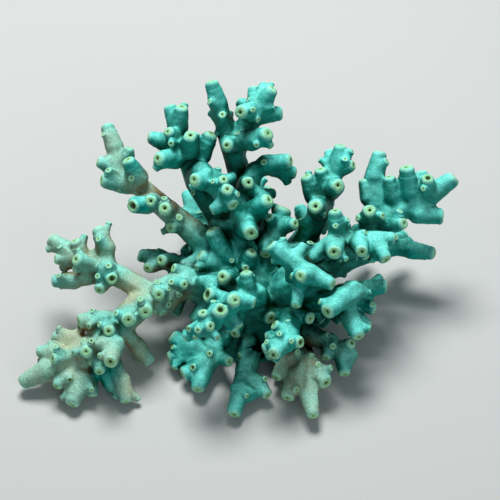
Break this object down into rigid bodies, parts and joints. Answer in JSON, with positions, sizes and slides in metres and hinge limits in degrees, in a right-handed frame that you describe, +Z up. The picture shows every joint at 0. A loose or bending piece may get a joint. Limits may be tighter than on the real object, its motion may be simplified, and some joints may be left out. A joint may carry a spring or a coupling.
{
  "type": "finger coral",
  "caption": "Branching finger coral colony with tubular open-ended fingers on spreading limbs, cut off flat under its foot to rest on a surface.",
  "frame": {"origin": "centre of the flat cut under the foot", "axes": "+Z up from the cut, +X along the colony's widest spread, -Y towards the face that the fingers turn to"},
  "size_m": [0.1199, 0.0812, 0.0564],
  "materials": {
    "coral_skin": "granular satin skin over porous limestone, turquoise with pale yellow-green rims round the finger mouths"
  },
  "bodies": {
    "root": {"trunk": "coral_skin", "left_front_arm": "coral_skin", "left_mid_arm": "coral_skin", "left_back_arm": "coral_skin", "left_high_arm": "coral_skin", "crown_left_arm": "coral_skin", "crown_front_arm": "coral_skin", "crown_mid_arm": "coral_skin", "crown_right_arm": "coral_skin", "heart_high_arm": "coral_skin", "right_inner_arm": "coral_skin", "right_back_arm": "coral_skin", "right_high_arm": "coral_skin", "right_mid_arm": "coral_skin", "heart_arm": "coral_skin", "front_left_arm": "coral_skin", "front_mid_arm": "coral_skin", "front_right_arm": "coral_skin", "right_low_arm": "coral_skin", "right_rear_arm": "coral_skin", "low_right_arm": "coral_skin", "low_front_arm": "coral_skin", "low_mid_arm": "coral_skin", "low_left_arm": "coral_skin", "back_left_arm": "coral_skin", "back_mid_arm": "coral_skin", "back_right_arm": "coral_skin"}
  },
  "joints": []
}
